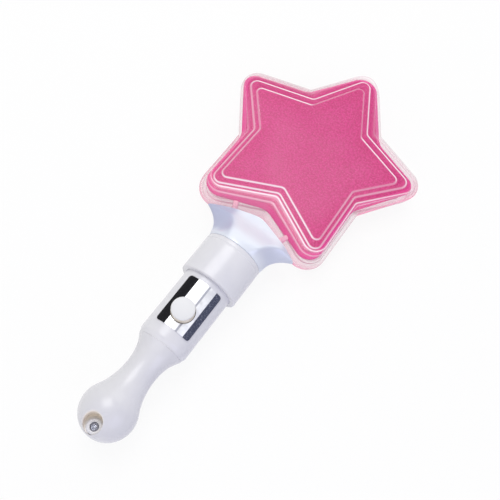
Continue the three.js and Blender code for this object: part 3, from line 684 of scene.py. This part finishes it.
def grip():
    """The grip in one skin of rings: the screw hole, the recess floor with its raised ring, the recess wall and
    lip, the ball, the waist, the spigot, and back down inside. The recess opens a little off the screw's axis, and
    its lip is widest on one side. Rings on the ball run along great circles from the lip to the circle where the
    waist begins. The recess carries a weight for painted warm shade, strongest where the lip is wide."""
    columns = 144
    angle = np.linspace(0, 2 * np.pi, columns, endpoint=False)
    sin, cos = np.sin(angle), np.cos(angle)

    def on_ball(radius):
        x, y = RECESS_OFF[0] + radius * sin, SCREW_Y + RECESS_OFF[1] + radius * cos
        return np.stack([x, y, np.sqrt(BALL_RADIUS ** 2 - x ** 2 - (y - BALL_Y) ** 2)], axis=-1)

    crest = RECESS_FLOOR + RING_HEIGHT
    floor = about_z([
        (SCREW_HOLE, SCREW_HOLE_END),
        (SCREW_HOLE, RECESS_FLOOR),
        (SCREW_SEAT, RECESS_FLOOR),
        (SCREW_SEAT, crest),
        (SCREW_SEAT + 0.15, crest + RING_CREST),
        (RING_RADIUS - 0.15, crest + RING_CREST),
        (RING_RADIUS, crest),
        (RING_RADIUS, RECESS_FLOOR),
        (RECESS_RADIUS - 0.3, RECESS_FLOOR),
        (RECESS_RADIUS - 0.08, RECESS_FLOOR + 0.08),
        (RECESS_RADIUS, RECESS_FLOOR + 0.3),
    ], SCREW_Y, columns)
    floor[-3:] += (*RECESS_OFF, 0)
    above = 0.5 + 0.5 * np.cos(angle + RECESS_TURN)
    lip = LIP_LEAST + LIP_MORE * above
    corner, outside = on_ball(RECESS_RADIUS), on_ball(RECESS_RADIUS + lip)
    inside = corner - np.stack([0 * lip, 0 * lip, LIP_DEPTH * lip], axis=-1)
    t = np.linspace(0, 1, 8)[:, None, None]
    lips = (1 - t) ** 2 * inside + 2 * t * (1 - t) * corner + t ** 2 * outside
    t = np.linspace(0, 1, 8)[:-1, None, None]
    wall = floor[-1] * (1 - t) + inside * t

    join_y = BALL_Y + BALL_RADIUS * BALL_JOIN
    join_radius = BALL_RADIUS * math.sqrt(1 - BALL_JOIN ** 2)
    centre = np.array([0, BALL_Y, 0])
    start = (outside - centre) / BALL_RADIUS
    end = (np.stack([join_radius * sin, 0 * sin + join_y, join_radius * cos], axis=-1) - centre) / BALL_RADIUS
    between = np.arccos(np.clip(np.sum(start * end, axis=-1), -1, 1))[:, None]
    t = np.linspace(0, 1, 40)[1:, None, None]
    ball = centre + BALL_RADIUS * (np.sin((1 - t) * between) * start + np.sin(t * between) * end) / np.sin(between)

    outer = waist_profile(0.0)[1:]
    shoulder = np.array([
        (SHOULDER_RADIUS - 0.02, GRIP_TOP + 0.13),
        (SHOULDER_RADIUS - 0.11, GRIP_TOP + 0.2),
        (SPIGOT_RADIUS, GRIP_TOP + 0.2),
        (SPIGOT_RADIUS, SPIGOT_TOP),
        (SPIGOT_BORE, SPIGOT_TOP),
    ])
    inner = waist_profile(GRIP_WALL)[::-1]
    below = np.array(HOLLOW_END) + (0, BALL_Y)
    turned = turn(np.vstack([outer, shoulder, inner, below]), columns)
    turned[-len(below):, :, 2] = np.minimum(turned[-len(below):, :, 2], HOLLOW_TOP)
    rings = np.concatenate([floor[:-1], wall, lips, ball, turned])
    shaded = np.zeros(rings.shape[:2])
    lip_start = len(floor) - 1 + len(wall)
    # Painted warm shade in the recess, strongest on the side where the lip is wide
    shaded[8:lip_start] = 0.3 + 0.7 * above
    shaded[lip_start:lip_start + len(lips)] = np.outer([1.0, 1.0, 0.9, 0.75, 0.5, 0.25, 0.1, 0.0], above)
    mesh_piece("grip", *stacked(rings), "grip", "white_handle", grip_plastic, "grip_shell",
               attributes={"recess_shade": shaded})


def waist_profile(inset, count=64):
    """(radius, station) rows from the ball's join up to the grip's top: Hermite pieces through the waist's
    stations, with slopes from the neighbouring stations and, at the join, from the ball."""
    level = math.sqrt(1 - BALL_JOIN ** 2)
    join = (BALL_Y + BALL_RADIUS * BALL_JOIN, BALL_RADIUS * level)
    y, r = np.array([join, *WAIST, (GRIP_TOP, SHOULDER_RADIUS)]).T
    slope = np.gradient(r, y)
    slope[0], slope[-1] = -BALL_JOIN / level, WAIST_TOP_SLOPE
    station = np.linspace(y[0], y[-1], count)
    k = np.clip(np.searchsorted(y, station, side="right") - 1, 0, len(y) - 2)
    width = y[k + 1] - y[k]
    t = (station - y[k]) / width
    radius = (
        r[k] * (1 + 2 * t) * (1 - t) ** 2 + r[k + 1] * t ** 2 * (3 - 2 * t)
        + width * (slope[k] * t * (1 - t) ** 2 + slope[k + 1] * t ** 2 * (t - 1))
    )
    return np.column_stack([radius - inset, station])


def screw():
    """The screw: a domed head whose cross is pressed in where either arm of a plus lies, on a plain shank."""
    columns = 96
    radius = np.linspace(0.02, SCREW_HEAD, 36)
    angle = np.linspace(0, 2 * np.pi, columns, endpoint=False)
    x, y = radius[:, None] * np.sin(angle), radius[:, None] * np.cos(angle)
    dome = SCREW_TOP - SCREW_DOME * (radius[:, None] / SCREW_HEAD) ** 2.6

    def arm(across, along):
        width = 1 / (1 + np.exp((np.abs(across) - CROSS_WIDTH) / 0.035))
        length = 1 / (1 + np.exp((np.abs(along) - CROSS_LENGTH) / 0.06))
        return width * length

    head = np.stack([x, SCREW_Y + y, dome - CROSS_DEPTH * np.maximum(arm(x, y), arm(y, x))], axis=-1)
    point_radius, point_start = SCREW_POINT
    side = about_z([
        (SCREW_HEAD, SCREW_UNDER),
        (SCREW_SHANK, SCREW_UNDER),
        (SCREW_SHANK, point_start),
        (point_radius, SCREW_END),
    ], SCREW_Y, columns)
    rings = np.concatenate([head, side])
    mesh_piece("screw", *stacked(rings), "screw", "screw_steel", screw_steel, "locking_screw")


def clear_finish():
    """Clear case plastic as a thin skin: see-through face on, paler where it turns away, with painted white
    highlights along the edges and crests, hazy at the seam, where the haze partly paints the light seen through the
    walls, with a painted pink glow on some sides, and painted deep pink shade along the feet of the steps in place of
    the insert's lensing. Light from the lamps passes it freely."""
    made, shader, place = finish("clear_plastic", rgb(240, 220, 228), 0.07)
    line, haze = place.stored("line"), place.stored("haze")
    # The line weight paints highlights where it is positive and deep pink shade where it is negative
    light = line.math("MAXIMUM", 0.0)
    dark = (line * -1.0).math("MAXIMUM", 0.0)
    pale = line.step(0.6, 0.85).between(rgb(242, 192, 210), rgb(255, 243, 249))
    # Haze colour, with a painted pink glow on some sides
    tint = place.stored("blush").between(rgb(214, 178, 187), rgb(250, 163, 195))
    dull = (haze - light).step(0.0, 0.1).between(pale, tint)
    put(shader.inputs["Base Color"], line.step(-0.15, 0.0).between(rgb(198, 66, 130), dull))
    put(shader.inputs["Roughness"], place.noise(500.0) * 0.08 + 0.12)
    turned = place.node("ShaderNodeLayerWeight", None, {"Blend": 0.3}, out=1)
    smudge = place.noise(24.0, 2.0).step(0.45, 0.75)
    cover = (light + haze) * 0.8 + dark * 0.6 + turned * turned * 0.2 + smudge * 0.03 + 0.025
    cover = cover.math("MINIMUM", 0.92)
    clear = place.node("ShaderNodeBsdfTransparent")
    skin = place.node("ShaderNodeMixShader", None, {0: cover, 1: clear, 2: Sock(shader.outputs[0])})
    lamp_ray = place.node("ShaderNodeLightPath", out="Is Shadow Ray")
    surface = place.node("ShaderNodeMixShader", None, {0: lamp_ray, 1: skin, 2: clear})
    put(made.node_tree.nodes["Material Output"].inputs["Surface"], surface)
    return made


def pink_finish():
    """Pink insert: soft clouds of lighter and deeper pink with a fine bright speckle, and painted light that lightens
    its bevelled sides, in place of the light a see-through pink gathers there."""
    made, shader, place = finish("pink_plastic", rgb(226, 76, 142), 0.5)
    speckle = place.noise(1100.0, 2.0, 0.7).step(0.36, 0.64)
    cloud = place.noise(45.0, 2.0).step(0.3, 0.7)
    deep = cloud.between(rgb(186, 12, 104), rgb(189, 16, 107))
    face = speckle.between(deep, cloud.between(rgb(209, 45, 131), rgb(211, 51, 134)))
    # Painted light lightens the bevel
    put(shader.inputs["Base Color"], place.stored("edge").between(face, rgb(232, 54, 150)))
    put(shader.inputs["Roughness"], speckle * 0.15 + 0.42)
    put(shader.inputs["Normal"], place.noise(1500.0, 2.0).bump(0.15, 0.0002))
    return made


def film_finish():
    """Label film: a slightly crumpled mirror in the middle with one thin grey rule, a black band on the left and a
    flecked slate band on the right, by the angle round the barrel, atan2(x, z)."""
    made, shader, place = finish("mirror_film", rgb(226, 228, 233), 0.08, Specular_IOR_Level=0.12)
    x, _, z = place.parts()
    angle = x.math("ARCTAN2", z - float(HOME[2] * MM)) * (180 / math.pi)
    black = angle.step(LABEL_BLACK + LABEL_BLUR, LABEL_BLACK - LABEL_BLUR)
    slate = angle.step(LABEL_SLATE - LABEL_BLUR, LABEL_SLATE + LABEL_BLUR)
    rule = (angle - LABEL_RULE).math("ABSOLUTE").step(3.0, 1.0)
    scuff = place.noise(700.0, 3.0)
    crumple = place.noise(260.0, 2.0).step(0.35, 0.65)
    mirror = crumple.between(rgb(210, 211, 218), rgb(234, 235, 240))
    ruled = rule.between(mirror, rgb(176, 178, 188))
    fleck = place.noise(1600.0, 3.0, 0.7).step(0.5, 0.72)
    worn = fleck.between(rgb(70, 74, 92), rgb(126, 129, 146))
    ink = fleck.between(rgb(14, 14, 20), rgb(34, 35, 44))
    put(shader.inputs["Base Color"], black.between(slate.between(ruled, worn), ink))
    put(shader.inputs["Metallic"], 1.0 - (black + slate + rule).math("MINIMUM", 1.0))
    put(shader.inputs["Roughness"], scuff * 0.1 + 0.3)
    put(shader.inputs["Normal"], place.noise(180.0, 2.0).bump(0.12, 0.0004))
    return made


def grip_finish():
    """The grip's white plastic, with painted warm shade inside the screw recess."""
    made = moulded("grip_plastic", rgb(221, 221, 225), rgb(215, 215, 221), 0.26)
    socket, clean = base_colour(made)
    # Painted warm shade inside the recess
    put(socket, clean.stored("recess_shade").between(clean, rgb(240, 229, 211)))
    return made


def pearl_finish():
    """The neck's pearly plastic: nearly white on its flat front and back, with painted blue-grey shade on its slanted
    cheeks, deeper on the left one."""
    made = moulded("pearl_plastic", rgb(226, 231, 240), rgb(219, 225, 238), 0.3, Metallic=0.1)
    socket, front = base_colour(made)
    # Painted blue-grey shade on the cheeks
    put(socket, front.stored("cheek").between(front, rgb(184, 188, 213)))
    return made


def button_finish():
    """The button's satin white plastic, with painted warm shade down its side."""
    made = moulded("button_plastic", rgb(226, 227, 228), rgb(220, 221, 223), 0.4)
    socket, clean = base_colour(made)
    top = (HOME[2] + BUTTON_TOP) * MM
    level = clean.node("ShaderNodeTexCoord", out="Object").parts()[2]
    # Painted warm shade down the button's side
    side = level.step(top - 0.4 * MM, top - 1.0 * MM)
    put(socket, side.between(clean, rgb(218, 208, 190)))
    return made


clear_plastic = clear_finish()
pink_plastic = pink_finish()
mirror_film = film_finish()
pearl_plastic = pearl_finish()
white_plastic = moulded("white_plastic", rgb(225, 225, 229), rgb(219, 219, 225), 0.24)
grip_plastic = grip_finish()
button_plastic = button_finish()
dark_plastic = moulded("dark_plastic", rgb(58, 58, 64), rgb(50, 50, 56), 0.5)
board_green = moulded("board_green", rgb(46, 120, 80), rgb(38, 104, 70), 0.45)
wire_red = moulded("wire_red", rgb(180, 36, 42), rgb(160, 30, 36), 0.45)
wire_black = moulded("wire_black", rgb(30, 30, 34), rgb(24, 24, 28), 0.45)
pin_plastic = moulded("pin_plastic", rgb(250, 214, 226), rgb(246, 204, 218), 0.3)
lamp_plastic = moulded("lamp_plastic", rgb(255, 246, 250), rgb(250, 236, 244), 0.1,
                       Transmission_Weight=0.8, IOR=1.5)
screw_steel = metal("screw_steel", rgb(176, 178, 190), 0.28)
cell_steel = metal("cell_steel", rgb(200, 203, 208), 0.25)
contact_brass = metal("contact_brass", rgb(214, 178, 96), 0.3)

case_half("case_front", 1, "star_front_shell")
case_half("case_back", -1, "star_back_shell")
pink_plate("pink_front", 1, "pink_star_front")
pink_plate("pink_back", -1, "pink_star_back")
neck()
collar()
barrel()
label()
button()
grip()
screw()

for node, material in {
    "neck_pin_left": pin_plastic,
    "neck_pin_right": pin_plastic,
    "circuit_board": board_green,
    "switch_body": dark_plastic,
    "switch_plunger": button_plastic,
    "battery_carriage": dark_plastic,
    "button_cell_1": cell_steel,
    "button_cell_2": cell_steel,
    "button_cell_3": cell_steel,
    "positive_contact": contact_brass,
    "negative_contact": contact_brass,
    "light_bulb": lamp_plastic,
    "bulb_holder": white_plastic,
    "led_wire_red": wire_red,
    "led_wire_black": wire_black,
}.items():
    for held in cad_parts[node].material_slots:
        held.material = material

# Camera from the fit to the photograph, in the wand's own frame: its axes as rows, the star's centre seen from it,
# and its focal length and picture width in pixels
CAMERA_AXES = np.array([[0.808, 0.581, 0.100], [-0.574, 0.738, 0.354], [0.132, -0.343, 0.930]])
STAR_FROM_CAMERA = np.array([30.74, 46.65, -346.5])
FOCAL_PIXELS, PICTURE_PIXELS, SENSOR = 700, 500, 36.0
left, _, right = np.linalg.svd(CAMERA_AXES)
axes = left @ right
spot = (-axes.T @ STAR_FROM_CAMERA + HOME) * MM
lens = bpy.data.cameras.new("camera")
lens.sensor_width, lens.lens = SENSOR, SENSOR * FOCAL_PIXELS / PICTURE_PIXELS
lens.clip_start, lens.clip_end = 0.01, 20.0
camera = bpy.data.objects.new("camera", lens)
placing = np.eye(4)
placing[:3, :3] = axes.T
placing[:3, 3] = spot
camera.matrix_world = Matrix(placing.tolist())
scene.collection.objects.link(camera)
scene.camera = camera


def soft_lamp(name, place, size, power, colour):
    """A square area lamp at a place in metres, turned to face the origin."""
    data = bpy.data.lights.new(name, "AREA")
    data.size, data.energy, data.color = size, power, colour
    lamp = bpy.data.objects.new(name, data)
    back = np.array(place) / np.linalg.norm(place)
    across = np.cross((0.0, 0.0, 1.0), back)
    across /= np.linalg.norm(across)
    turned = np.eye(4)
    turned[:3, :3] = np.column_stack([across, np.cross(back, across), back])
    turned[:3, 3] = place
    lamp.matrix_world = Matrix(turned.tolist())
    scene.collection.objects.link(lamp)


soft_lamp("key", (-0.24, 0.2, 0.8), 0.52, 3.5, (1.0, 0.99, 0.97))
soft_lamp("fill", (0.65, -0.3, 0.45), 0.6, 1.65, (0.7, 0.7, 1.0))
soft_lamp("front", (-0.15, -0.85, 0.4), 0.8, 2.1, (1.0, 0.98, 0.98))
soft_lamp("backdrop", (-0.1, 1.0, 0.35), 1.0, 2.8, (1.0, 1.0, 1.0))


def shown(tree):
    """1 for rays from the camera, from gloss and through clear plastic, and 0 for light that falls on surfaces."""
    rays = tree.nodes.new("ShaderNodeLightPath").outputs
    both = Sock(rays["Is Camera Ray"]) + Sock(rays["Is Glossy Ray"])
    return both.math("ADD", Sock(rays["Is Transmission Ray"]), clamp=True)


world = bpy.data.worlds.new("studio")
world.use_nodes = True
scene.world = world
background = world.node_tree.nodes["Background"]
in_view = shown(world.node_tree)
put(background.inputs["Color"], in_view.between((0.97, 0.97, 1.0, 1.0), (1.0, 1.0, 1.0, 1.0)))
put(background.inputs["Strength"], in_view * 0.58 + 0.42)

# Floor: pale, nearly shadeless to the camera, to reflections and through clear plastic
floor_paint, floor_shader, _ = finish("floor_paint", (0.9, 0.9, 0.9, 1.0), 0.9)
seen = shown(floor_paint.node_tree)
glow = seen.node("ShaderNodeEmission", None, {"Color": (1.0, 1.0, 1.0, 1.0), "Strength": 1.0})
mixed = seen.node("ShaderNodeMixShader", None, {0: seen * 0.9, 1: Sock(floor_shader.outputs[0]), 2: glow})
put(floor_paint.node_tree.nodes["Material Output"].inputs["Surface"], mixed)
plane = bpy.data.meshes.new("floor")
plane.from_pydata([(-3, -3, 0), (3, -3, 0), (3, 3, 0), (-3, 3, 0)], [], [(0, 1, 2, 3)])
plane.materials.append(floor_paint)
floor = bpy.data.objects.new("floor", plane)
scene.collection.objects.link(floor)

scene.view_settings.view_transform = "Standard"
